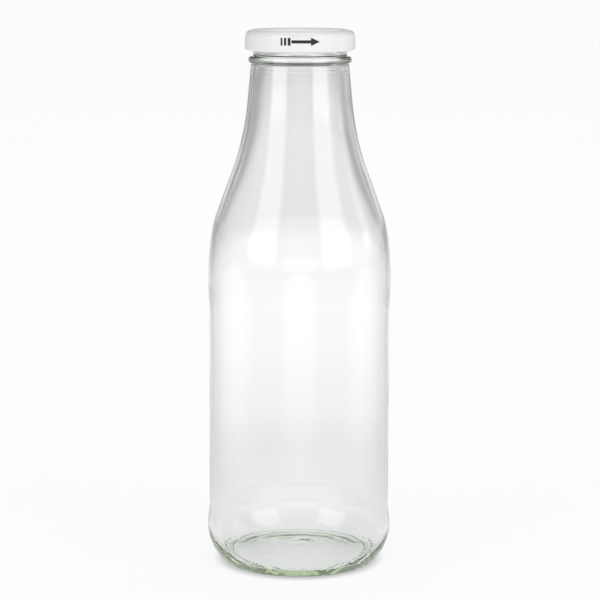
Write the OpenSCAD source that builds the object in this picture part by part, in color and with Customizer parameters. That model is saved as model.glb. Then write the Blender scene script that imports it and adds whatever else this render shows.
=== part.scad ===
// Glass milk bottle of one litre with a twist-off lug lid, in millimetres.
// The bottle stands on its bearing ring, with its axis on Z and the lid closed.

/* [Body] */
// Diameter of the label panel
panel_d = 86; // [84:0.1:86.4]
// Diameter at the widest circle of the shoulder
shoulder_d = 87.2; // [86.6:0.1:88]
// Diameter at the widest circle of the heel
heel_d = 87.8; // [87:0.1:88.4]
// Height where the label panel starts
panel_bottom = 27; // [24:0.5:34]
// Height where the label panel ends
panel_top = 120; // [100:1:128]
// Height of the shoulder's widest circle
shoulder_h = 137; // [136:0.5:140]
// Height where the straight slope of the shoulder turns into the neck
neck_start_h = 188; // [184:0.5:190]
// Glass thickness at the shoulder and neck
neck_wall = 2.4; // [2.2:0.1:2.8]
// Glass thickness at the label panel
panel_wall = 2; // [1.8:0.1:2.6]

/* [Base] */
// Height of the hollow under the base, at its middle
punt_h = 4; // [2:0.1:4.4]
// Height of the inside floor, at its middle
floor_h = 8.3; // [7.8:0.1:8.8]
// Glass thickness at the top of the heel
heel_wall = 2; // [1.8:0.1:2.6]
// Glass thickness at the edge of the floor
base_wall = 4.8; // [4:0.1:5.2]
// Width of the flat ring that the bottle stands on
bearing_w = 2.6; // [1.5:0.1:4]

/* [Finish] */
// Height of the glass, from the bearing ring to the lip
glass_h = 252.8; // [252:0.1:254]
// Diameter of the mouth
bore_d = 38.6; // [37.6:0.1:39.4]
// Height where the straight wall of the mouth starts
bore_low = 243; // [242:0.5:246]
// Diameter of the finish, without its threads
finish_d = 43.9; // [43.4:0.1:44.1]
// Diameter over the threads
thread_d = 47.2; // [46.8:0.1:47.4]
// Diameter of the transfer bead below the threads
bead_d = 48.4; // [47.6:0.1:49]
// Diameter of the neck just below the bead
neck_d = 46; // [45.6:0.1:46.2]
// Rise of a thread in one full turn
lead = 16; // [15:0.1:16]

/* [Lid] */
// Outer diameter of the lid
lid_d = 51.6; // [51.2:0.1:52.2]
// Height of the lid
lid_h = 9.7; // [9.6:0.05:9.8]
// Thickness of the tinplate
plate_t = 0.24; // [0.2:0.01:0.28]
// Depth of the recessed panel below the rim
recess_h = 0.6; // [0.5:0.05:0.8]
// Number of lugs, and of threads
lug_count = 4; // [4:1:4]
// Width of a lug, as an angle
lug_angle = 16; // [12:1:16]

/* [Hidden] */
$fn = 144;

lid_top = glass_h + 1.3;
lid_bottom = lid_top - lid_h;
plate_half = plate_t / 2;

// Shoulder and neck: radii of the bends and slopes from the vertical, from the body up
shoulder_bends = [125, 44];
shoulder_slopes = [11, 20.2];
neck_bend = 126;
neck_slope = 5.4;

// Heel: a small bend next to the bearing ring, then a large one up to the body
heel_bends = [4.5, 24.5];
heel_slope = 49;
bearing_r = heel_d / 2 - heel_bends[0] * sin(heel_slope) - heel_bends[1] * (1 - sin(heel_slope));

// Inside of the heel: its bends, and the slope at the edge of the floor
inner_r = panel_d / 2 - panel_wall;
inner_bends = [1.6, 18.7];
floor_slope = 11;
floor_edge = [
    heel_d / 2 - heel_wall - inner_bends[0] * (sin(heel_slope) + sin(floor_slope))
        - inner_bends[1] * (1 - sin(heel_slope)),
    base_wall
];

// Transfer bead and lip, and how far below the mouth's straight wall the neck starts to close in
bead_h = 239.8;
bead_r = 1.75;
lip_r = 1.1;
throat_h = 3;

// Threads: ridge half height, half span in angle, and height of the middle above the lid's edge
ridge_half = 0.8;
thread_half = 36;
thread_mid_h = lid_bottom + 3.95;
thread_rise = lead * thread_half / 360;
thread_tilt = atan(thread_rise / (thread_d / 2 * sin(thread_half)));

// Lid rim and curl, along the middle of the tinplate
rim_bend = 1.4;
rim_slope = acos(1 - recess_h / (2 * rim_bend));
roof_w = 0.3;
roof_slope = 8;
corner_bend = 3;
curl_bend = 0.8;
skirt_r = lid_d / 2 - plate_half;
lid_panel_r = skirt_r - rim_bend * (2 * sin(rim_slope) + sin(roof_slope)) - roof_w * cos(roof_slope)
    - corner_bend * (1 - sin(roof_slope));

// Lugs: inner radius, outer radius, lower and upper height above the lid's edge
lug_in = 22.45;
lug_out = 24.5;
lug_low = 0.15;
lug_high = 1.5;
// Angle of a lug behind the middle of its thread, when the lid is closed
lug_behind = 26;

// Sealing ring: clearances from the tinplate and from the glass lip, inner radius, and depth outside the lip
seal_gap = 0.05;
lip_gap = 0.06;
seal_in = bore_d / 2 + 0.4;
seal_skirt = 0.7;
seal_slope = 65;

function last(list) = list[len(list) - 1];
function reversed(list) = [for (i = [len(list) - 1:-1:0]) list[i]];
function flat(path) = [for (p = path) [p[0], p[1]]];

// A path point is [x, y, heading]. A left turn has a positive radius and a right turn a negative one.
function turn(p, heading, radius, steps) = [
    for (i = [1:steps])
        let (h = p[2] + (heading - p[2]) * i / steps)
        [p[0] + radius * (sin(h) - sin(p[2])), p[1] - radius * (cos(h) - cos(p[2])), h]
];

function ahead(p, distance) = [[p[0] + distance * cos(p[2]), p[1] + distance * sin(p[2]), p[2]]];

// Goes on along the heading to a height or to a radius
function to_height(p, h) = ahead(p, (h - p[1]) / sin(p[2]));
function to_radius(p, r) = ahead(p, (r - p[0]) / cos(p[2]));

// A smooth step up from one point to another. It ends upright, and starts upright or leaning by a slope
function ease(p, q, steps, lean = 0) = [
    for (i = [1:steps])
        let (t = i / steps, rise = q[1] - p[1])
        [
            p[0] + (q[0] - p[0]) * t * t * (3 - 2 * t) + lean * rise * t * (1 - t) * (1 - t),
            p[1] + rise * t
        ]
];

// A shallow dome from its middle out to its edge
function dome(middle_h, edge, steps) = [
    for (i = [0:steps])
        let (t = i / steps)
        [edge[0] * t, edge[1] + (middle_h - edge[1]) * (1 - t * t)]
];

// The same path moved sideways to its right
function beside(path, distance) = [
    for (p = path) [p[0] + distance * sin(p[2]), p[1] - distance * cos(p[2])]
];

// Shoulder and neck for a given depth of glass, from the shoulder's widest circle up
function shoulder_line(depth, low_r) =
    let (start = [low_r, shoulder_h, 90],
         low = turn(start, 90 + shoulder_slopes[0], shoulder_bends[0] - depth, 8),
         high = turn(last(low), 90 + shoulder_slopes[1], shoulder_bends[1] - depth, 8),
         slope = to_height(last(high), neck_start_h - depth * sin(shoulder_slopes[1])),
         bend = turn(last(slope), 90 + neck_slope, -(neck_bend + depth), 12))
    concat([start], low, high, slope, bend);

// Heel from a starting point, through a small bend and then a large one
function heel_line(start, bends) =
    let (low = turn(start, heel_slope, bends[0], 8),
         high = turn(last(low), 90, bends[1], 14))
    concat([start], low, high);

module glass_outline() {
    outer_neck = shoulder_line(0, shoulder_d / 2);
    inner_neck = shoulder_line(neck_wall, shoulder_d / 2 - neck_wall);
    throat = to_height(last(inner_neck), bore_low - throat_h);
    heel = heel_line([bearing_r, 0, 0], heel_bends);
    inner_heel = heel_line([floor_edge[0], floor_edge[1], -floor_slope], inner_bends);
    lip_inner = bore_d / 2 + lip_r;
    lip_outer = finish_d / 2 - lip_r;
    bead_c = bead_d / 2 - bead_r;
    bead_from = -acos((neck_d / 2 - bead_c) / bead_r);
    bead_to = acos((finish_d / 2 - bead_c) / bead_r);
    outside = concat(
        dome(punt_h, [bearing_r - bearing_w, 0.25], 10),
        [[bearing_r - bearing_w, 0]],
        flat(heel),
        ease(last(heel), [panel_d / 2, panel_bottom], 8),
        ease([panel_d / 2, panel_top], [shoulder_d / 2, shoulder_h - 1], 10),
        flat(outer_neck),
        flat(to_radius(last(outer_neck), neck_d / 2)),
        [for (i = [0:14])
            let (a = bead_from + (bead_to - bead_from) * i / 14)
            [bead_c + bead_r * cos(a), bead_h + bead_r * sin(a)]],
        [for (i = [0:6]) let (a = 15 * i) [lip_outer + lip_r * cos(a), glass_h - lip_r + lip_r * sin(a)]]
    );
    inside = concat(
        dome(floor_h, floor_edge, 10),
        flat(inner_heel),
        ease(last(inner_heel), [inner_r, panel_bottom], 4),
        ease([inner_r, panel_top], [shoulder_d / 2 - neck_wall, shoulder_h - 1], 8),
        flat(inner_neck),
        flat(throat),
        ease(last(throat), [bore_d / 2, bore_low], 10, -tan(neck_slope)),
        [for (i = [0:6]) let (a = 180 - 15 * i) [lip_inner + lip_r * cos(a), glass_h - lip_r + lip_r * sin(a)]]
    );
    polygon(concat(outside, reversed(inside)));
}

module thread_ridge() {
    root_r = bore_d / 2 + 1.2;
    crown_r = thread_d / 2 - ridge_half;
    rotate([0, 0, -thread_half])
        rotate_extrude(angle = 2 * thread_half)
        polygon(concat(
            [[root_r, -ridge_half]],
            [for (a = [-90:15:90]) [crown_r + ridge_half * cos(a), ridge_half * sin(a)]],
            [[root_r, ridge_half]]
        ));
    for (side = [-1, 1])
        rotate([0, 0, side * thread_half])
        rotate([0, 90, 0]) {
            translate([0, 0, root_r])
                cylinder(r = ridge_half - 0.03, h = crown_r - root_r, $fn = 32);
            translate([0, 0, crown_r])
                sphere(r = ridge_half - 0.03, $fn = 32);
        }
}

module glass_bottle() {
    color([0.86, 0.92, 0.89, 0.4])
    union() {
        rotate_extrude() glass_outline();
        for (i = [0:lug_count - 1])
            rotate([0, 0, 360 / lug_count * i])
            translate([0, 0, thread_mid_h])
            rotate([thread_tilt, 0, 0])
            thread_ridge();
    }
}

// The middle line of the tinplate, from the centre of the panel to the end of the curl
function rim_line() =
    let (start = [lid_panel_r, lid_top - plate_half - recess_h, 0],
         rise = turn(start, rim_slope, rim_bend, 6),
         crest = turn(last(rise), -roof_slope, -rim_bend, 8),
         roof = ahead(last(crest), roof_w),
         corner = turn(last(roof), -90, -corner_bend, 12))
    concat([start], rise, crest, roof, corner);

function lid_line() =
    let (rim = rim_line(),
         skirt = to_height(last(rim), lid_bottom + plate_half + curl_bend),
         curl = turn(last(skirt), -380, -curl_bend, 22))
    concat([[0, rim[0][1], 0]], rim, skirt, curl);

module lug() {
    rotate([0, 0, -lug_angle / 2])
        rotate_extrude(angle = lug_angle)
        translate([0, lid_bottom])
        polygon([
            [lug_in + 0.4, lug_low],
            [lug_out, lug_low + 0.1],
            [lug_out, lug_high],
            [lug_in + 0.3, lug_high],
            [lug_in, lug_high - 0.3],
            [lug_in, lug_low + 0.4]
        ]);
}

module lid_shell() {
    path = lid_line();
    color("white")
    union() {
        rotate_extrude() polygon(concat(beside(path, -plate_half), reversed(beside(path, plate_half))));
        for (i = [0:lug_count - 1])
            rotate([0, 0, 360 / lug_count * i - lug_behind])
            lug();
    }
}

module sealing_ring() {
    rim = rim_line();
    roof = concat([[seal_in, rim[0][1], 0]], [for (p = rim) if (p[2] > -seal_slope) p]);
    lip_top = glass_h + lip_gap;
    color([0.9, 0.88, 0.82])
    rotate_extrude()
    polygon(concat(beside(roof, plate_half + seal_gap), [
        [finish_d / 2 + 2.2, lip_top - seal_skirt],
        [finish_d / 2 + 0.9, lip_top - seal_skirt],
        [finish_d / 2 + 0.2, lip_top],
        [seal_in, lip_top]
    ]));
}

glass_bottle();
sealing_ring();
lid_shell();
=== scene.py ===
"""Glass milk bottle with a twist-off lug lid: the visual model round its CAD frame.

Lengths in the outlines are millimetres, as a bottle drawing has them, and mm() turns them
into the scene's metres. The studio is in metres. The bottle's axis is Z, and it stands on the
plane z = 0, with its front towards -Y.
"""
import math

import bpy
import numpy as np
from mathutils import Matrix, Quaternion, Vector

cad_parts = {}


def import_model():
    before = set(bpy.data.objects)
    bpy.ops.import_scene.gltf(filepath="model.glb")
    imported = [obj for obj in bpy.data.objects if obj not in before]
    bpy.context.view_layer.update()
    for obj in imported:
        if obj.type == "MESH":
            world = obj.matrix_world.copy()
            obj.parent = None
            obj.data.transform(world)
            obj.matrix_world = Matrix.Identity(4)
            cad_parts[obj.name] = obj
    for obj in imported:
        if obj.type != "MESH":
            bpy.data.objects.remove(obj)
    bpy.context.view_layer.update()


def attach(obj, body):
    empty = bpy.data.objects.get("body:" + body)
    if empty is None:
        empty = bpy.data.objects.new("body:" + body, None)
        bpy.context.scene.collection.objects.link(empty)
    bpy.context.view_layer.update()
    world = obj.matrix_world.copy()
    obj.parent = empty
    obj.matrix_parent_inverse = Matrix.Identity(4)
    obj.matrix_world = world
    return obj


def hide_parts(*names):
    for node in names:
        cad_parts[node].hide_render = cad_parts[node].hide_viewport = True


MM = 0.001

# Body and base, in millimetres and degrees
PANEL_R = 43.0
SHOULDER_R = 43.6
HEEL_R = 43.9
PANEL_BOTTOM = 27.0
PANEL_TOP = 120.0
SHOULDER_H = 137.0
SHOULDER_EASE_H = 136.0
NECK_START_H = 188.0
NECK_WALL = 2.4
PANEL_WALL = 2.0
PUNT_H = 4.0
FLOOR_H = 8.3
FLOOR_SLOPE = 11.0
BASE_WALL = 4.8
HEEL_WALL = 2.0
BEARING_W = 2.6
SHOULDER_BENDS = (125.0, 44.0)
SHOULDER_SLOPES = (11.0, 20.2)
NECK_BEND = 126.0
NECK_SLOPE = 5.4
HEEL_BENDS = (4.5, 24.5)
INNER_BENDS = (1.6, 18.7)
HEEL_SLOPE = 49.0
# The bearing ring's rounded inner edge, as offsets from it and heights
BEARING_EDGE = ((-0.25, 0.3), (-0.1, 0.18), (0.05, 0.05), (0.25, 0.0))

# Finish, in millimetres and degrees
GLASS_H = 252.8
BORE_R = 19.3
BORE_LOW = 243.0
BORE_TOP_GAP = 0.3
THROAT = 3.0
FINISH_R = 21.95
BEAD_R = 24.2
BEAD_H = 239.8
BEAD_ROUND = 1.75
BEAD_FILLET = 0.5
LIP_ROUND = 1.1
THREADS = 4
THREAD_R = 23.6
THREAD_LEAD = 16.0
THREAD_HALF_ANGLE = 36.0
THREAD_RUN_OUT = 4.0
THREAD_HALF_W = 0.85
THREAD_THINNEST = 0.05
# Powers that round a ridge's cross section
THREAD_SHAPE = (2.6, 0.62)

# Marks that the moulds leave in the glass, in millimetres and degrees
KNURLS = 96
KNURL_R = 33.2
KNURL_HALF_W = 1.5
KNURL_DEPTH = 0.24
KNURL_SHALLOWEST = 0.4
KNURL_SHARPNESS = 1.5
BASE_RING_R = 22.0
BASE_RING_HALF_W = 0.8
BASE_RING_DEPTH = 0.12
SWIRL_REACH = 9.0
SWIRL_CLEAR = 3.0
SWIRL_DEPTH = 0.06
SWIRL_ARMS = 2
# Radians that the swirl turns by in each millimetre from its middle
SWIRL_TURN = 0.45
SEAMS_AT = (0.0, 180.0)
SEAM_HALF_W = 0.35
SEAM_RISE = 0.05

# Unevenness of the glass, in millimetres. Each wave is its count round and its length upward
SEEDS = {"outside": 3, "inside": 7, "floor": 11, "knurls": 19, "heel": 23, "corner": 29}
WAVES = ((1, 170.0), (2, 95.0), (3, 61.0), (5, 43.0), (8, 29.0))
WAVES_BEND = 0.6
WAVES_FALL = 0.7
OUTSIDE_WAVES = 0.012
INSIDE_WAVES = 0.07
INSIDE_WAVES_FROM = 20.0
FLOOR_WAVES = 0.08
FLOOR_WAVES_CLOSER = 4.0
FLOOR_WAVES_FROM = 12.0
FLOOR_WAVES_TO = 38.0
FLOOR_WAVES_FADE = 6.0
MOTTLE_WAVES = ((23, 7.0), (37, 4.6), (53, 3.9), (71, 3.1))
MOTTLE = 3.2
MOTTLE_TOP = 8.0
MOTTLE_FADE = 5.0
MOTTLE_INSIDE = 0.4
MOTTLE_INSIDE_FROM = 32.0
MOTTLE_INSIDE_FADE = 3.0
RIPPLES = 4
RIPPLES_DOWN = 8.0
RIPPLE_DEPTH = 0.018
# Points of the outline that the unevenness leaves alone, or reaches up to
BEND_POINTS = 12
NECK_TOP_POINTS = 8
BORE_POINTS = 12
HEEL_POINTS = 30

# Lid, in millimetres and degrees
LID_TOP = 254.1
LID_BOTTOM = 244.4
LID_R = 25.8
PLATE = 0.24
RECESS = 0.6
RIM_BEND = 1.4
ROOF_W = 0.3
ROOF_SLOPE = 8.0
LID_CORNER = 3.0
CURL_BEND = 0.8
CURL_END = -395.0
LID_PANEL_RINGS = 16
# The plate above this height is the recessed panel and its rim
LID_PANEL_LOW = 252.0
BOW_R = 19.5
BOW_RISE = 0.12
LUG_BEHIND = 26.0
LUG_HALF_ANGLE = 8.0
# A lug fades out over the first of these angles, and ends past its half angle by the second
LUG_FADE = 2.6
LUG_FADE_PAST = 0.8
LUG_REACH = 1.42
LUG_PRESS = 0.27
LUG_ROUNDING = 0.7
# Rings at the end of the curl's inner side that have enamel on them, not lacquer
ENAMEL_INSIDE_RINGS = 3
THREAD_MID_H = LID_BOTTOM + 3.95

# Sealing ring, in millimetres. Its underside goes by steps out from the finish and down
SEAL_ROOF_GAP = 0.05
SEAL_LIP_GAP = 0.06
SEAL_INNER = 0.45
SEAL_ROOF_INNER = 0.4
SEAL_ROOF_STEP = 0.4
SEAL_ROOF_POINTS = 4
SEAL_LAST_SLOPE = -65.0
SEAL_CHAMFER = 0.25
SEAL_FOOT = ((2.1, 0.66), (1.1, 0.70))
SEAL_GROOVE = ((0.8, 0.58), (0.55, 0.35), (0.3, 0.1), (0.05, 0.0))
SEAL_WAVES = 5
SEAL_WAVE_RISE = 0.05
SEAL_WAVE_R = 1.4
SEAL_WAVE_HALF_W = 0.7
SEAL_WAVE_BELOW = 0.3
SEAL_WAVE_START = 0.7

# Print on the skirt, in millimetres round it from its front
PRINT_UP = 5.1
PRINT_RISE = 0.02
SHAFT_START = -4.0
SHAFT_LENGTH = 9.0
SHAFT_HALF_H = 0.72
HEAD_LENGTH = 4.2
HEAD_HALF_H = 1.85
TIP_HALF_H = 0.02
ARROW_STEPS = 10
# Each bar's start and width
BARS = ((-9.1, 0.9), (-7.5, 1.1), (-5.7, 1.3))
BAR_HALF_H = 1.75

# Meshes
GLASS_SEGMENTS = 480
LID_SEGMENTS = 288

# Materials. A noise's values between these two spread over the whole range
NOISE_FROM = 0.1
NOISE_TO = 0.9
GLASS_COLOUR = (0.9425, 0.9425, 0.957)
GLASS_TINT = (0.32, 0.55, 0.10)
GLASS_TINT_DENSITY = 14.5
GLASS_IOR = 1.52
ENAMEL_TONES = ((0.815, 0.815, 0.835), (0.85, 0.85, 0.87))
# Lacquer tones: partly the lacquer's own colour, partly darkened as painted shade under the lid
LACQUER_AND_SHADE_TONES = ((0.60, 0.585, 0.54), (0.67, 0.65, 0.60))
COMPOUND_TONES = ((0.70, 0.68, 0.61), (0.78, 0.76, 0.69))
INK_TONES = ((0.006, 0.006, 0.007), (0.016, 0.016, 0.018))

# Studio, in metres and degrees. Each level is a distance from the bottle's axis and a brightness
FLOOR_REACH = 14.0
FLOOR_COLOUR = (0.12, 0.12, 0.12)
FLOOR_BELOW = 0.00015
FLOOR_LEVELS = ((0.0, 0.893), (0.3, 0.900), (1.5, 0.92), (5.0, 0.929), (14.0, 0.935))
# The floor's light rises from this share to the whole between two distances from the axis
CONTACT_LEVEL = 0.5
CONTACT_SHADE = (0.0335, 0.0425)
GLOW_REACH = 12.0
GLOW_BELOW = 0.0001
# Both glow ramps are dimmer within 0.04 m of the axis than at 0.07 m: a painted shadow under the bottle,
# seen only through the glass
GLOW_IN_LINE = ((0.0, 0.92), (0.04, 0.92), (0.07, 1.05), (0.14, 0.99), (0.24, 0.97), (0.35, 1.08),
                (0.6, 1.16), (0.9, 1.18), (1.12, 1.18), (1.42, 0.985), (1.9, 1.0), (2.3, 1.0),
                (2.8, 0.95), (3.3, 0.93), (3.8, 0.86), (12.0, 0.85))
GLOW_ASIDE = ((0.0, 0.92), (0.04, 0.92), (0.07, 0.94), (0.13, 0.80), (0.25, 0.76), (0.4, 0.76),
              (0.8, 0.76), (1.5, 0.62), (2.4, 0.48), (12.0, 0.45))
# A strip fades out between these distances from its middle line, and between these slopes from it
STRIP_HALF_W = (0.15, 0.85)
STRIP_SLOPE = (0.13, 0.6)
DISC_SIDES = 96
ROOM_LEVEL = 0.34
HORIZON_HEIGHTS = (3.5, 7.5)
HORIZON_SIDES = (0.32, 0.68)
HORIZON_AHEAD = 1.0
# Directions with less Y than the first see the sides' level, and with more than the second the one ahead
HORIZON_TURN = (0.82, 0.97)
SOFTBOXES = (
    # azimuth from the front in degrees, width, low edge, high edge in metres, radiance
    (49.0, 2.0, 0.05, 2.6, 1.95),
    (-49.0, 1.9, 0.05, 2.6, 1.9),
    (100.0, 1.0, 0.05, 2.6, 1.3),
    (180.0, 0.9, 0.10, 2.6, 0.62),
)
SOFTBOX_DISTANCE = 2.2
SOFTBOX_FADE_SIDE = 0.45
SOFTBOX_FADE_LOW = 0.42
SOFTBOX_LOW_GAIN = 1.6
SOFTBOX_LOW_BAND = (0.35, 0.7)
TOP_PLACE = (0.0, 0.3, 2.4)
TOP_SIZE = 1.6
TOP_RADIANCE = 0.91
FILL_PLACE = (0.0, -2.4, 1.5)
FILL_SIZE = 1.2
FILL_RADIANCE = 1.6

# Camera, in metres, millimetres for the lens, and degrees
CAMERA_PLACE = (0.0, -1.028, 0.2966)
CAMERA_AIM = (0.0003, 0.0, 0.1261)
CAMERA_ROLL = 0.17
CAMERA_LENS = 131.3
CAMERA_SENSOR = 36.0
CAMERA_CLIP = (0.05, 60.0)


def mm(*values):
    """Millimetres to the scene's metres."""
    return [value * MM for value in values]


# ---------------------------------------------------------------- outlines

def turn(p, heading, radius, step=3.0):
    """Points along an arc from p = (r, z, heading). A left turn has a positive radius."""
    count = max(2, math.ceil(abs(heading - p[2]) / step))
    start = math.radians(p[2])
    points = []
    for i in range(1, count + 1):
        h = p[2] + (heading - p[2]) * i / count
        a = math.radians(h)
        points.append((p[0] + radius * (math.sin(a) - math.sin(start)),
                       p[1] - radius * (math.cos(a) - math.cos(start)), h))
    return points


def ahead(p, distance, step=2.0):
    """Points straight on from p."""
    count = max(1, math.ceil(abs(distance) / step))
    a = math.radians(p[2])
    return [(p[0] + distance * i / count * math.cos(a),
             p[1] + distance * i / count * math.sin(a), p[2]) for i in range(1, count + 1)]


def to_height(p, h, step=2.0):
    """Points straight on from p, up or down to a height."""
    return ahead(p, (h - p[1]) / math.sin(math.radians(p[2])), step)


def ease(p, q, count=14, lean=0.0):
    """A smooth step up to an upright wall, from one that is upright or leans by a slope."""
    points = []
    for i in range(1, count + 1):
        t = i / count
        rise = q[1] - p[1]
        points.append((p[0] + (q[0] - p[0]) * t * t * (3 - 2 * t) + lean * rise * t * (1 - t) ** 2,
                       p[1] + rise * t))
    return points


def straight(p, q, step):
    """Points between p and q, without p itself."""
    count = max(1, math.ceil(math.dist(p[:2], q[:2]) / step))
    return [(p[0] + (q[0] - p[0]) * i / count, p[1] + (q[1] - p[1]) * i / count)
            for i in range(1, count + 1)]


def dome(middle_h, edge, count=24):
    """A shallow dome from the axis out to its edge."""
    return [(edge[0] * i / count, edge[1] + (middle_h - edge[1]) * (1 - (i / count) ** 2))
            for i in range(count + 1)]


def flat(path):
    """The path's points without their headings."""
    return [(p[0], p[1]) for p in path]


def shoulder_line(depth, low_r):
    """Shoulder and neck for a given depth of glass, from the shoulder's widest circle up."""
    path = [(low_r, SHOULDER_H, 90.0)]
    path += turn(path[-1], 90 + SHOULDER_SLOPES[0], SHOULDER_BENDS[0] - depth, 0.8)
    path += turn(path[-1], 90 + SHOULDER_SLOPES[1], SHOULDER_BENDS[1] - depth, 0.8)
    sine = math.sin(math.radians(SHOULDER_SLOPES[1]))
    path += to_height(path[-1], NECK_START_H - depth * sine, 1.5)
    path += turn(path[-1], 90 + NECK_SLOPE, -(NECK_BEND + depth), 0.6)
    return path


def heel_line(top_r, low_h, low_slope, bends):
    """The heel up to its widest circle: a small bend and then a large one."""
    small, large = bends
    sine = math.sin(math.radians(HEEL_SLOPE))
    low_r = top_r - large * (1 - sine) - small * (sine - math.sin(math.radians(low_slope)))
    path = [(low_r, low_h, low_slope)]
    path += turn(path[-1], HEEL_SLOPE, small, 4)
    path += turn(path[-1], 90.0, large, 2)
    return path


def bead_line(foot):
    """The transfer bead, with a fillet below and above it, from the neck up to the finish."""
    width = BEAD_FILLET + BEAD_ROUND
    start = math.sin(math.radians(foot[2]))
    low = math.degrees(math.asin((BEAD_FILLET * start + BEAD_ROUND - (BEAD_R - foot[0])) / width))
    high = math.degrees(math.acos((BEAD_R - FINISH_R) / width - 1)) + 90
    path = [foot]
    path += turn(path[-1], low, -BEAD_FILLET, 12)
    path += turn(path[-1], high, BEAD_ROUND, 5)
    path += turn(path[-1], 90.0, -BEAD_FILLET, 10)
    return path[1:]


def glass_outside():
    """The outer surface from the middle of the base up to the bead."""
    heel = heel_line(HEEL_R, 0.0, 0.0, HEEL_BENDS)
    bearing_r = heel[0][0]
    inner_edge = bearing_r - BEARING_W
    edge = [(inner_edge + off, h) for off, h in BEARING_EDGE]
    base = dome(PUNT_H, edge[0]) + edge[1:]
    base += straight(base[-1], (bearing_r, 0.0), 0.35)
    wall = ease(heel[-1], (PANEL_R, PANEL_BOTTOM))
    wall += straight(wall[-1], (PANEL_R, PANEL_TOP), 3.0)
    wall += ease(wall[-1], (SHOULDER_R, SHOULDER_EASE_H))
    neck = shoulder_line(0.0, SHOULDER_R)
    neck += to_height(neck[-1], BEAD_H - BEAD_ROUND, 1.5)
    return base, flat(heel[1:]) + wall + flat(neck), flat(bead_line(neck[-1]))


def glass_outline():
    """The closed outline, and how many of its points belong to each part of the surface."""
    base, wall, bead = glass_outside()
    finish = straight(bead[-1], (FINISH_R, GLASS_H - LIP_ROUND), 0.12)
    lip_out, lip_in = FINISH_R - LIP_ROUND, BORE_R + LIP_ROUND
    lip_c = GLASS_H - LIP_ROUND
    lip = []
    for middle, first, last in ((lip_out, 10, 90), (lip_in, 90, 180)):
        for a in range(first, last + 1, 10):
            lip.append((middle + LIP_ROUND * math.cos(math.radians(a)),
                        lip_c + LIP_ROUND * math.sin(math.radians(a))))
    inner_r = PANEL_R - PANEL_WALL
    neck = shoulder_line(NECK_WALL, SHOULDER_R - NECK_WALL)
    neck += to_height(neck[-1], BORE_LOW - THROAT - RIPPLES_DOWN, 1.5)
    neck += to_height(neck[-1], BORE_LOW - THROAT, 0.35)
    heel = heel_line(HEEL_R - HEEL_WALL, BASE_WALL, -FLOOR_SLOPE, INNER_BENDS)
    inside = dome(FLOOR_H, heel[0]) + flat(heel[1:])
    floor_points = len(inside)
    inside += ease(inside[-1], (inner_r, PANEL_BOTTOM), 6)
    inside += straight(inside[-1], (inner_r, PANEL_TOP), 3.0)
    inside += ease(inside[-1], (SHOULDER_R - NECK_WALL, SHOULDER_EASE_H))
    inside += flat(neck)
    inside += ease(inside[-1], (BORE_R, BORE_LOW), 16, -math.tan(math.radians(NECK_SLOPE)))
    inside += straight(inside[-1], (BORE_R, GLASS_H - LIP_ROUND - BORE_TOP_GAP), 1.0)
    parts = {"base": len(base), "wall": len(wall), "bead": len(bead), "finish": len(finish),
             "lip": len(lip), "inside": len(inside) - floor_points, "floor": floor_points}
    return base + wall + bead + finish + lip + inside[::-1], parts


def rim_line():
    """The middle line of the lid's tinplate, from the recessed panel over the rim."""
    rim_slope = math.degrees(math.acos(1 - RECESS / (2 * RIM_BEND)))
    sines = 2 * math.sin(math.radians(rim_slope)) + math.sin(math.radians(ROOF_SLOPE))
    panel_r = LID_R - PLATE / 2 - RIM_BEND * sines \
        - ROOF_W * math.cos(math.radians(ROOF_SLOPE)) \
        - LID_CORNER * (1 - math.sin(math.radians(ROOF_SLOPE)))
    path = [(panel_r, LID_TOP - PLATE / 2 - RECESS, 0.0)]
    path += turn(path[-1], rim_slope, RIM_BEND, 6)
    path += turn(path[-1], -ROOF_SLOPE, -RIM_BEND, 6)
    path += ahead(path[-1], ROOF_W, 0.4)
    path += turn(path[-1], -90.0, -LID_CORNER, 5)
    return path


def beside(path, distance):
    """The same path moved sideways to its right."""
    return [(p[0] + distance * math.sin(math.radians(p[2])),
             p[1] - distance * math.cos(math.radians(p[2]))) for p in path]


# ---------------------------------------------------------------- meshes

def lathe(name, radii, heights, closed, segments):
    """A surface of revolution. radii and heights are arrays of rings by segments, in mm.

    An open outline starts and ends on the axis and gets one point at each end.
    """
    rings = radii.shape[0]
    angles = np.arange(segments) * (2 * math.pi / segments)
    first, last = (0, rings) if closed else (1, rings - 1)
    r, z = radii[first:last], heights[first:last]
    grid = np.stack([r * np.cos(angles), r * np.sin(angles), z], axis=-1).reshape(-1, 3)
    count = last - first
    points = [grid]
    faces = []
    loop = np.arange(segments)
    after = (loop + 1) % segments
    for i in range(count if closed else count - 1):
        low, high = i * segments, ((i + 1) % count) * segments
        faces += np.stack([low + loop, low + after, high + after, high + loop], axis=-1).tolist()
    if not closed:
        start, end = len(grid), len(grid) + 1
        points.append(np.array([[0.0, 0.0, heights[0].mean()], [0.0, 0.0, heights[-1].mean()]]))
        top = (count - 1) * segments
        faces += [[start, b, a] for a, b in zip(loop.tolist(), after.tolist())]
        faces += [[end, top + a, top + b] for a, b in zip(loop.tolist(), after.tolist())]
    mesh = bpy.data.meshes.new(name)
    mesh.from_pydata((np.concatenate(points) * MM).tolist(), [], faces)
    mesh.polygons.foreach_set("use_smooth", [True] * len(mesh.polygons))
    mesh.update()
    piece = bpy.data.objects.new(name, mesh)
    bpy.context.scene.collection.objects.link(piece)
    return piece


def spun(outline, segments):
    """The outline's radii and heights as arrays of rings by segments, and the segments' angles."""
    degrees = np.arange(segments) * 360.0 / segments
    radii = np.repeat(outline[:, :1], segments, axis=1)
    heights = np.repeat(outline[:, 1:], segments, axis=1)
    return degrees, radii, heights


def angle_from(degrees, centre):
    """Signed angle from a centre, between -180 and 180 degrees."""
    return (degrees - centre + 180.0) % 360.0 - 180.0


def smooth(x):
    """A smooth step from 0 at 0 to 1 at 1."""
    x = np.clip(x, 0.0, 1.0)
    return x * x * (3 - 2 * x)


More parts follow.
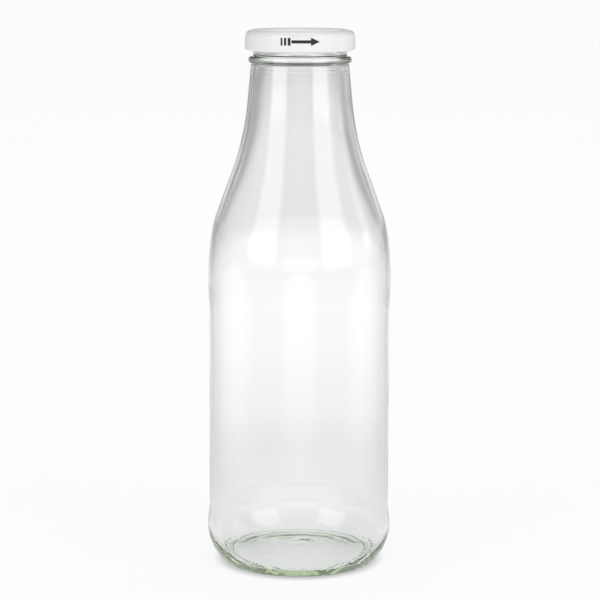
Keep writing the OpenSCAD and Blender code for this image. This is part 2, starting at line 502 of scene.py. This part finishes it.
def waves(degrees, heights, amplitude, seed):
    """Slow unevenness of a blown surface: a few waves round and up, with seeded phases."""
    rng = np.random.default_rng(seed)
    a = np.radians(degrees)[None, :]
    z = heights[:, None]
    total = np.zeros((len(heights), len(degrees)))
    for around, length in WAVES:
        phase_a, phase_z = rng.uniform(0, 2 * math.pi, 2)
        total += np.sin(around * a + phase_a + WAVES_BEND * np.sin(2 * math.pi * z / length)) \
            * np.sin(2 * math.pi * z / length + phase_z) / around ** WAVES_FALL
    return amplitude * total / 2


def mottle(degrees, heights, seed):
    """Short irregular waves round the lowest few millimetres of the glass."""
    rng = np.random.default_rng(seed)
    a = np.radians(degrees)[None, :]
    z = heights[:, None]
    total = np.zeros((len(heights), len(degrees)))
    for around, length in MOTTLE_WAVES:
        phase_a, phase_z = rng.uniform(0, 2 * math.pi, 2)
        total += np.sin(around * a + phase_a + np.sin(2 * a + phase_z)) \
            * np.sin(2 * math.pi * z / length + phase_z) / around
    return MOTTLE * total * smooth((MOTTLE_TOP - heights) / MOTTLE_FADE)[:, None]


def thread_relief(degrees, heights):
    """How far the four thread ridges stand out of the finish."""
    relief = np.zeros((len(heights), len(degrees)))
    for i in range(THREADS):
        along = angle_from(degrees, 360.0 / THREADS * i)
        middle = THREAD_MID_H + THREAD_LEAD * along / 360.0
        across = np.abs(heights[:, None] - middle[None, :]) / THREAD_HALF_W
        end = THREAD_HALF_ANGLE + THREAD_RUN_OUT / 2
        run_out = np.clip((end - np.abs(along)) / THREAD_RUN_OUT, 0.0, 1.0)
        fade = np.sqrt(np.clip(1 - (1 - run_out) ** 2, 0.0, 1.0))
        width = np.maximum(fade, THREAD_THINNEST)[None, :]
        section = np.clip(1 - (across / width) ** THREAD_SHAPE[0], 0.0, 1.0) ** THREAD_SHAPE[1]
        relief = np.maximum(relief, section * fade[None, :] * (THREAD_R - FINISH_R))
    return relief


def mark_base(degrees, r, heights):
    """Sinks the knurls, the ring of the base mould and the parison's swirl into the base."""
    across = np.clip(1 - np.abs(r - KNURL_R) / KNURL_HALF_W, 0.0, 1.0)
    notch = (0.5 - 0.5 * np.cos(np.radians(degrees * KNURLS))) ** KNURL_SHARPNESS
    depth = np.random.default_rng(SEEDS["knurls"]).uniform(KNURL_SHALLOWEST, 1.0, KNURLS)
    depth = depth[(degrees * KNURLS / 360.0).astype(int)]
    heights += KNURL_DEPTH * np.sqrt(across)[:, None] * (notch * depth)[None, :]
    swirl = np.radians(degrees)[None, :] * SWIRL_ARMS + r[:, None] * SWIRL_TURN
    middle = np.exp(-(r / SWIRL_REACH) ** 2)[:, None]
    heights += SWIRL_DEPTH * middle * np.sin(swirl) * smooth(r / SWIRL_CLEAR)[:, None]
    heights += BASE_RING_DEPTH * np.exp(-((r - BASE_RING_R) / BASE_RING_HALF_W) ** 2)[:, None]


def make_glass():
    """The bottle: a lathed outline with its threads, the moulds' marks and its unevenness."""
    outline, parts = glass_outline()
    outline = np.array(outline)
    rings = len(outline)
    degrees, radii, heights = spun(outline, GLASS_SEGMENTS)
    r, h = outline[:, 0], outline[:, 1]
    ends = dict(zip(parts, np.cumsum(list(parts.values()))))

    # Threads on the finish
    finish = slice(ends["bead"], ends["finish"])
    radii[finish] += thread_relief(degrees, h[finish])

    # Knurls, swirl and ring under the bottle
    base = slice(0, ends["base"])
    mark_base(degrees, r[base], heights[base])

    # Two mould seams up the outside, at the sides
    wall = slice(ends["base"] + BEND_POINTS, ends["bead"])
    for seam in SEAMS_AT:
        off = np.radians(angle_from(degrees, seam))[None, :] * r[wall][:, None]
        radii[wall] += SEAM_RISE * np.exp(-(off / SEAM_HALF_W) ** 2)

    # The outside is pressed to the mould, and the inside is freely blown and less even
    outside = slice(ends["base"] + BEND_POINTS, ends["wall"] - NECK_TOP_POINTS)
    radii[outside] += waves(degrees, h[outside], OUTSIDE_WAVES, SEEDS["outside"])
    inside = slice(ends["lip"] + BORE_POINTS, rings - 1)
    reach = smooth(r[inside] / INSIDE_WAVES_FROM)[:, None]
    radii[inside] += waves(degrees, h[inside], INSIDE_WAVES, SEEDS["inside"]) * reach

    # Settle ripples in the neck, just below the throat
    ripple = (BORE_LOW - THROAT - h[inside]) / RIPPLES_DOWN
    rises = np.sin(ripple * 2 * math.pi * RIPPLES) * (1 - ripple)
    radii[inside] += RIPPLE_DEPTH * np.where((ripple > 0) & (ripple < 1), rises, 0.0)[:, None]

    # The lowest glass is uneven from the knurling, outside and in
    low = slice(ends["base"], ends["base"] + HEEL_POINTS)
    radii[low] += mottle(degrees, h[low], SEEDS["heel"])
    corner = slice(ends["lip"], rings)
    heights[corner] += MOTTLE_INSIDE * mottle(degrees, h[corner], SEEDS["corner"]) \
        * smooth((r[corner] - MOTTLE_INSIDE_FROM) / MOTTLE_INSIDE_FADE)[:, None]

    # The floor has a few slow waves between its middle and the corner
    floor = slice(ends["inside"], rings)
    zone = smooth(r[floor] / FLOOR_WAVES_FROM) * smooth((FLOOR_WAVES_TO - r[floor]) / FLOOR_WAVES_FADE)
    swell = waves(degrees, r[floor] * FLOOR_WAVES_CLOSER, FLOOR_WAVES, SEEDS["floor"])
    heights[floor] += swell * zone[:, None]
    return lathe("clear_glass_bottle", radii, heights, False, GLASS_SEGMENTS)


def make_lid():
    """The lid's pressing, and how many rings its inner side has."""
    rim = rim_line()
    panel_h = rim[0][1]
    panel = [(rim[0][0] * i / LID_PANEL_RINGS, panel_h, 0.0) for i in range(LID_PANEL_RINGS)]
    skirt = to_height(rim[-1], LID_BOTTOM + PLATE / 2 + CURL_BEND, 0.5)
    curl = turn(skirt[-1], CURL_END, -CURL_BEND, 12)
    path = panel + rim + skirt + curl
    outer, inner = beside(path, -PLATE / 2), beside(path, PLATE / 2)
    outline = np.array(inner + outer[::-1])
    degrees, radii, heights = spun(outline, LID_SEGMENTS)
    r, h = outline[:, 0], outline[:, 1]

    # The panel bows up a little towards its middle
    bow = np.clip(1 - (r / BOW_R) ** 2, 0.0, 1.0) ** 2 * (h > LID_PANEL_LOW)
    heights += BOW_RISE * bow[:, None]

    # Lugs: the curl is pressed flat and drawn inward at four places
    centre_r = LID_R - PLATE / 2 - CURL_BEND
    centre_h = LID_BOTTOM + PLATE / 2 + CURL_BEND
    in_curl = (h < centre_h + CURL_BEND + PLATE) & (r < centre_r)
    inward = np.clip((centre_r - r) / (CURL_BEND + PLATE / 2), 0.0, 1.0) ** LUG_ROUNDING * in_curl
    for i in range(THREADS):
        off = np.abs(angle_from(degrees, 360.0 / THREADS * i - LUG_BEHIND))
        in_lug = smooth((LUG_HALF_ANGLE + LUG_FADE_PAST - off) / LUG_FADE)[None, :]
        radii -= LUG_REACH * inward[:, None] * in_lug
        press = 1 - LUG_PRESS * inward[:, None] * in_lug
        heights = centre_h + (heights - centre_h) * press
    lid = lathe("enamelled_lid", radii, heights, False, LID_SEGMENTS)
    return lid, len(inner)


def make_seal():
    """The sealing compound, with the shallow groove that the glass lip has pressed into it."""
    rim = rim_line()
    roof = [(BORE_R + SEAL_ROOF_INNER + i * SEAL_ROOF_STEP, rim[0][1], 0.0)
            for i in range(SEAL_ROOF_POINTS)]
    roof += [p for p in rim if p[2] > SEAL_LAST_SLOPE]
    top = beside(roof, PLATE / 2 + SEAL_ROOF_GAP)
    under_h = GLASS_H + SEAL_LIP_GAP
    foot = [(FINISH_R + out, under_h - down) for out, down in SEAL_FOOT]
    under = [(top[-1][0] - SEAL_CHAMFER, top[-1][1] - SEAL_CHAMFER), foot[0]]
    under += straight(foot[0], foot[1], 0.3)
    under += [(FINISH_R + out, under_h - down) for out, down in SEAL_GROOVE]
    under += straight(under[-1], (BORE_R + SEAL_INNER, under_h), 0.4)
    outline = np.array(top + under)[::-1]
    degrees, radii, heights = spun(outline, LID_SEGMENTS)

    # The compound beyond the lip was never pressed, and lies in slow waves
    from_middle = outline[:, 0] - (FINISH_R + SEAL_WAVE_R)
    free = np.exp(-(from_middle / SEAL_WAVE_HALF_W) ** 2) * (outline[:, 1] < under_h - SEAL_WAVE_BELOW)
    rises = SEAL_WAVE_RISE * np.sin(np.radians(degrees) * SEAL_WAVES + SEAL_WAVE_START)
    heights += free[:, None] * rises[None, :]
    return lathe("sealing_compound_ring", radii, heights, True, LID_SEGMENTS)


def ribbon(name, columns, height, radius, thickness):
    """A thin plate bent round the skirt. columns are (distance round, half height) in mm."""
    points, faces = [], []
    for u, half in columns:
        a = u / radius - math.pi / 2
        for r in (radius - thickness, radius + thickness):
            for side in (-1, 1):
                points.append(mm(r * math.cos(a), r * math.sin(a), height + side * half))
    for i in range(len(columns) - 1):
        a, b = 4 * i, 4 * i + 4
        faces += [(a + 2, b + 2, b + 3, a + 3), (a, a + 1, b + 1, b),
                  (a + 1, a + 3, b + 3, b + 1), (a, b, b + 2, a + 2)]
    end = 4 * (len(columns) - 1)
    faces += [(0, 2, 3, 1), (end, end + 1, end + 3, end + 2)]
    mesh = bpy.data.meshes.new(name)
    mesh.from_pydata(points, [], faces)
    mesh.update()
    piece = bpy.data.objects.new(name, mesh)
    bpy.context.scene.collection.objects.link(piece)
    return piece


def make_print():
    """A plain printed arrow on the front of the skirt, pointing the way the lid opens."""
    middle_h = LID_BOTTOM + PRINT_UP
    steps = [i / ARROW_STEPS for i in range(ARROW_STEPS + 1)]
    head_start = SHAFT_START + SHAFT_LENGTH
    shaft = [(SHAFT_START + SHAFT_LENGTH * t, SHAFT_HALF_H) for t in steps]
    head = [(head_start + HEAD_LENGTH * t, TIP_HALF_H + HEAD_HALF_H * (1 - t)) for t in steps]
    marks = [ribbon("lid_print_arrow", shaft + head, middle_h, LID_R, PRINT_RISE)]
    for i, (start, width) in enumerate(BARS):
        columns = [(u, BAR_HALF_H) for u in (start, start + width / 2, start + width)]
        marks.append(ribbon("lid_print_bar_%d" % i, columns, middle_h, LID_R, PRINT_RISE))
    return marks


# ---------------------------------------------------------------- materials

def new_material(name):
    """A material with its node tree and its shader."""
    material = bpy.data.materials.new(name)
    material.use_nodes = True
    nodes = material.node_tree.nodes
    return material, nodes, material.node_tree.links, nodes["Principled BSDF"]


def map_range(nodes, links, value, source, result, interpolation="SMOOTHSTEP"):
    """A value mapped from one range to another and held at its ends. result is two numbers,
    of which the first may be another node's output instead."""
    step = nodes.new("ShaderNodeMapRange")
    step.interpolation_type = interpolation
    step.inputs["From Min"].default_value = source[0]
    step.inputs["From Max"].default_value = source[1]
    step.inputs["To Max"].default_value = result[1]
    if isinstance(result[0], float):
        step.inputs["To Min"].default_value = result[0]
    else:
        links.new(result[0], step.inputs["To Min"])
    links.new(value, step.inputs["Value"])
    return step.outputs["Result"]


def noise_bump(nodes, links, shader, scale, strength, distance, detail=2.0):
    """Fine unevenness of a surface, in the object's own coordinates."""
    place = nodes.new("ShaderNodeTexCoord")
    noise = nodes.new("ShaderNodeTexNoise")
    noise.inputs["Scale"].default_value = scale
    noise.inputs["Detail"].default_value = detail
    bump = nodes.new("ShaderNodeBump")
    bump.inputs["Strength"].default_value = strength
    bump.inputs["Distance"].default_value = distance
    links.new(place.outputs["Object"], noise.inputs["Vector"])
    links.new(noise.outputs["Fac"], bump.inputs["Height"])
    links.new(bump.outputs["Normal"], shader.inputs["Normal"])
    return place


def noise_range(nodes, links, place, scale, low, high):
    """A noise that runs between two values."""
    noise = nodes.new("ShaderNodeTexNoise")
    noise.inputs["Scale"].default_value = scale
    noise.inputs["Detail"].default_value = 3.0
    links.new(place.outputs["Object"], noise.inputs["Vector"])
    return map_range(nodes, links, noise.outputs["Fac"], (NOISE_FROM, NOISE_TO), (low, high), "LINEAR")


def coated(name, tones, grain, cloud_scale, gloss):
    """An opaque surface in clouds of two tones. grain is its bump's scale, strength and depth,
    and gloss is its scale and its lowest and highest roughness."""
    material, nodes, links, shader = new_material(name)
    place = noise_bump(nodes, links, shader, *grain)
    mix = nodes.new("ShaderNodeMix")
    mix.data_type = "RGBA"
    mix.inputs["A"].default_value = (*tones[0], 1)
    mix.inputs["B"].default_value = (*tones[1], 1)
    links.new(noise_range(nodes, links, place, cloud_scale, 0.0, 1.0), mix.inputs["Factor"])
    links.new(mix.outputs["Result"], shader.inputs["Base Color"])
    links.new(noise_range(nodes, links, place, *gloss), shader.inputs["Roughness"])
    return material, shader


def glass_material():
    """Clear glass, greenish only where it is thick, with a very slight orange peel."""
    material, nodes, links, shader = new_material("clear_flint_glass")
    shader.inputs["Base Color"].default_value = (*GLASS_COLOUR, 1)
    shader.inputs["Roughness"].default_value = 0.0
    shader.inputs["IOR"].default_value = GLASS_IOR
    shader.inputs["Transmission Weight"].default_value = 1.0
    noise_bump(nodes, links, shader, 140.0, 0.06, 0.0002, 1.0)
    tint = nodes.new("ShaderNodeVolumeAbsorption")
    tint.inputs["Color"].default_value = (*GLASS_TINT, 1)
    tint.inputs["Density"].default_value = GLASS_TINT_DENSITY
    links.new(tint.outputs["Volume"], nodes["Material Output"].inputs["Volume"])
    return material


def enamel_material():
    """White enamel under a thin, glossier clear coat."""
    material, shader = coated("white_enamel", ENAMEL_TONES, grain=(700.0, 0.05, 0.0002),
                              cloud_scale=60.0, gloss=(220.0, 0.24, 0.28))
    shader.inputs["Coat Weight"].default_value = 0.5
    shader.inputs["Coat Roughness"].default_value = 0.14
    return material


def lacquer_and_shade_material():
    """The cream lacquer on the lid's inside, its tones darkened as painted shade under the lid."""
    material, _ = coated("inside_lacquer_and_shade", LACQUER_AND_SHADE_TONES, grain=(500.0, 0.08, 0.0002),
                         cloud_scale=90.0, gloss=(160.0, 0.28, 0.42))
    return material


def compound_material():
    """Matt, off-white sealing compound."""
    material, _ = coated("sealing_compound", COMPOUND_TONES, grain=(1500.0, 0.25, 0.0001),
                         cloud_scale=200.0, gloss=(400.0, 0.5, 0.65))
    return material


def ink_material():
    """Black printing ink."""
    material, _ = coated("black_ink", INK_TONES, grain=(1800.0, 0.1, 0.00005),
                         cloud_scale=900.0, gloss=(500.0, 0.25, 0.4))
    return material


# ---------------------------------------------------------------- studio

def arithmetic(nodes, links, operation, a, b=None):
    """One sum on node outputs or numbers."""
    step = nodes.new("ShaderNodeMath")
    step.operation = operation
    for socket, value in zip(step.inputs, (a, b)):
        if isinstance(value, float):
            socket.default_value = value
        elif value is not None:
            links.new(value, socket)
    return step.outputs["Value"]


def coordinates(nodes, links, kind):
    """The X, Y and Z of a texture coordinate."""
    place = nodes.new("ShaderNodeTexCoord")
    split = nodes.new("ShaderNodeSeparateXYZ")
    links.new(place.outputs[kind], split.inputs["Vector"])
    return [split.outputs[axis] for axis in "XYZ"]


def from_axis(nodes, links):
    """The distance from the bottle's axis on a table top."""
    place = nodes.new("ShaderNodeTexCoord")
    length = nodes.new("ShaderNodeVectorMath")
    length.operation = "LENGTH"
    links.new(place.outputs["Object"], length.inputs[0])
    return length.outputs["Value"]


def radial_ramp(nodes, links, reach, levels):
    """Brightness by distance from the bottle's axis, out to reach metres."""
    ramp = nodes.new("ShaderNodeValToRGB")
    ramp.color_ramp.interpolation = "EASE"
    while len(ramp.color_ramp.elements) < len(levels):
        ramp.color_ramp.elements.new(0.5)
    for element, (distance, level) in zip(ramp.color_ramp.elements, levels):
        element.position = distance / reach
        element.color = (level, level, level, 1)
    share = arithmetic(nodes, links, "DIVIDE", from_axis(nodes, links), reach)
    links.new(share, ramp.inputs["Fac"])
    return ramp.outputs["Color"]


def disc(reach):
    """The corners of a round table top."""
    angles = [2 * math.pi * i / DISC_SIDES for i in range(DISC_SIDES)]
    return [(reach * math.cos(a), reach * math.sin(a), 0) for a in angles]


def studio_piece(name, points):
    """A flat polygon with a bare material of its own, and that material's nodes and links."""
    mesh = bpy.data.meshes.new(name)
    mesh.from_pydata(points, [], [list(range(len(points)))])
    piece = bpy.data.objects.new(name, mesh)
    bpy.context.scene.collection.objects.link(piece)
    material = bpy.data.materials.new(name)
    material.use_nodes = True
    nodes, links = material.node_tree.nodes, material.node_tree.links
    nodes.remove(nodes["Principled BSDF"])
    mesh.materials.append(material)
    return piece, nodes, links


def make_floor():
    """A pale floor lit from within like a light table, with a soft shade close to the bottle."""
    floor, nodes, links = studio_piece("floor", disc(FLOOR_REACH))
    floor.location.z = -FLOOR_BELOW
    diffuse = nodes.new("ShaderNodeBsdfDiffuse")
    diffuse.inputs["Color"].default_value = (*FLOOR_COLOUR, 1)
    glow = nodes.new("ShaderNodeEmission")
    links.new(radial_ramp(nodes, links, FLOOR_REACH, FLOOR_LEVELS), glow.inputs["Color"])
    shade = map_range(nodes, links, from_axis(nodes, links), CONTACT_SHADE, (CONTACT_LEVEL, 1.0))
    links.new(shade, glow.inputs["Strength"])
    both = nodes.new("ShaderNodeAddShader")
    links.new(diffuse.outputs["BSDF"], both.inputs[0])
    links.new(glow.outputs["Emission"], both.inputs[1])
    links.new(both.outputs["Shader"], nodes["Material Output"].inputs["Surface"])


def make_glow():
    """What the glass sees of the light table, and the camera does not: a cross of bright strips
    in line with the axes, and greyer quarters between them that draw the bottle's edges."""
    glow, nodes, links = studio_piece("light_table_glow", disc(GLOW_REACH))
    glow.location.z = -GLOW_BELOW
    glow.visible_camera = False
    glow.visible_diffuse = False
    glow.visible_shadow = False
    x, y, _ = coordinates(nodes, links, "Object")
    off_x = arithmetic(nodes, links, "ABSOLUTE", x)
    off_y = arithmetic(nodes, links, "ABSOLUTE", y)
    off = arithmetic(nodes, links, "MINIMUM", off_x, off_y)
    along = arithmetic(nodes, links, "MAXIMUM", off_x, off_y)
    slope = arithmetic(nodes, links, "DIVIDE", off, along)
    near = map_range(nodes, links, slope, STRIP_SLOPE, (1.0, 0.0))
    far = map_range(nodes, links, off, STRIP_HALF_W, (1.0, 0.0))
    mix = nodes.new("ShaderNodeMix")
    mix.data_type = "RGBA"
    links.new(arithmetic(nodes, links, "MULTIPLY", near, far), mix.inputs["Factor"])
    links.new(radial_ramp(nodes, links, GLOW_REACH, GLOW_ASIDE), mix.inputs["A"])
    links.new(radial_ramp(nodes, links, GLOW_REACH, GLOW_IN_LINE), mix.inputs["B"])
    emission = nodes.new("ShaderNodeEmission")
    links.new(mix.outputs["Result"], emission.inputs["Color"])
    links.new(emission.outputs["Emission"], nodes["Material Output"].inputs["Surface"])


def make_world():
    """A dim room above a horizon that is bright ahead and behind, and dimmer at the sides."""
    world = bpy.data.worlds.new("room")
    bpy.context.scene.world = world
    world.use_nodes = True
    nodes, links = world.node_tree.nodes, world.node_tree.links
    x, y, z = coordinates(nodes, links, "Generated")
    off = arithmetic(nodes, links, "ABSOLUTE", y)
    width = HORIZON_TURN[1]
    side = map_range(nodes, links, x, (-width, width), HORIZON_SIDES, "LINEAR")
    horizon = map_range(nodes, links, off, HORIZON_TURN, (side, HORIZON_AHEAD))
    heights = [math.sin(math.radians(h)) for h in HORIZON_HEIGHTS]
    level = map_range(nodes, links, z, heights, (horizon, ROOM_LEVEL))
    background = nodes["Background"]
    background.inputs["Color"].default_value = (1, 1, 1, 1)
    links.new(level, background.inputs["Strength"])


def make_softbox(name, azimuth, width, low, high, radiance):
    """An upright softbox that faces the bottle and fades out at its sides and its lower edge."""
    a = math.radians(azimuth)
    half = width / 2
    corners = [(-half, 0, low), (half, 0, low), (half, 0, high), (-half, 0, high)]
    box, nodes, links = studio_piece(name, corners)
    box.location = (SOFTBOX_DISTANCE * math.sin(a), -SOFTBOX_DISTANCE * math.cos(a), 0.0)
    box.rotation_euler.z = a
    box.visible_camera = False
    x, _, z = coordinates(nodes, links, "Object")
    off = arithmetic(nodes, links, "ABSOLUTE", x)
    across = map_range(nodes, links, off, (half - SOFTBOX_FADE_SIDE, half), (1.0, 0.0))
    up = map_range(nodes, links, z, (low, low + SOFTBOX_FADE_LOW), (0.0, 1.0))
    band = [low + rise for rise in SOFTBOX_LOW_BAND]
    level = map_range(nodes, links, z, band, (radiance * SOFTBOX_LOW_GAIN, radiance))
    clear = nodes.new("ShaderNodeBsdfTransparent")
    light = nodes.new("ShaderNodeEmission")
    links.new(level, light.inputs["Strength"])
    both = nodes.new("ShaderNodeMixShader")
    links.new(arithmetic(nodes, links, "MULTIPLY", across, up), both.inputs["Fac"])
    links.new(clear.outputs["BSDF"], both.inputs[1])
    links.new(light.outputs["Emission"], both.inputs[2])
    links.new(both.outputs["Shader"], nodes["Material Output"].inputs["Surface"])


def make_area(name, place, size, radiance):
    """A square area light that faces the origin and is not in the picture itself."""
    data = bpy.data.lights.new(name, "AREA")
    data.size = size
    data.energy = radiance * math.pi * size * size
    light = bpy.data.objects.new(name, data)
    light.location = place
    light.rotation_mode = "QUATERNION"
    light.rotation_quaternion = (-light.location).to_track_quat("-Z", "Y")
    light.visible_camera = False
    bpy.context.scene.collection.objects.link(light)
    return light


def make_lights():
    """Softboxes round the bottle, one above it, and a fill that only lights matt surfaces."""
    for i, softbox in enumerate(SOFTBOXES):
        make_softbox("side_softbox_%d" % i, *softbox)
    make_area("top_softbox", TOP_PLACE, TOP_SIZE, TOP_RADIANCE)
    fill = make_area("front_fill", FILL_PLACE, FILL_SIZE, FILL_RADIANCE)
    fill.visible_glossy = False
    fill.visible_transmission = False


def make_camera():
    """A long lens a little above the lid, looking down on the bottle by about 10 degrees."""
    data = bpy.data.cameras.new("camera")
    data.sensor_width = CAMERA_SENSOR
    data.lens = CAMERA_LENS
    data.clip_start, data.clip_end = CAMERA_CLIP
    camera = bpy.data.objects.new("camera", data)
    camera.location = CAMERA_PLACE
    roll = Quaternion((0, 0, 1), math.radians(CAMERA_ROLL))
    camera.rotation_mode = "QUATERNION"
    camera.rotation_quaternion = (Vector(CAMERA_AIM) - camera.location).to_track_quat("-Z", "Y") @ roll
    bpy.context.scene.collection.objects.link(camera)
    bpy.context.scene.camera = camera


def set_view():
    """Plain colours, and enough bounces for light to cross four walls of glass and back."""
    scene = bpy.context.scene
    scene.view_settings.view_transform = "Standard"
    scene.view_settings.look = "None"
    scene.cycles.use_denoising = True
    scene.cycles.max_bounces = 28
    scene.cycles.transmission_bounces = 24
    scene.cycles.glossy_bounces = 12
    scene.cycles.diffuse_bounces = 4
    scene.cycles.sample_clamp_indirect = 6.0


def main():
    """Builds the pieces, ties them to the frame and sets up the studio round them."""
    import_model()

    glass = make_glass()
    glass.data.materials.append(glass_material())
    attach(glass, "bottle")
    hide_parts("glass_bottle")

    lid, inner_rings = make_lid()
    lid.data.materials.append(enamel_material())
    lid.data.materials.append(lacquer_and_shade_material())
    for face in lid.data.polygons:
        ring = min(face.vertices) // LID_SEGMENTS
        if ring < inner_rings - ENAMEL_INSIDE_RINGS:
            face.material_index = 1
    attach(lid, "lid")
    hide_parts("lid_shell")

    seal = make_seal()
    seal.data.materials.append(compound_material())
    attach(seal, "seal")
    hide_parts("sealing_ring")

    ink = ink_material()
    for mark in make_print():
        mark.data.materials.append(ink)
        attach(mark, "lid")

    make_floor()
    make_glow()
    make_world()
    make_lights()
    make_camera()
    set_view()


main()
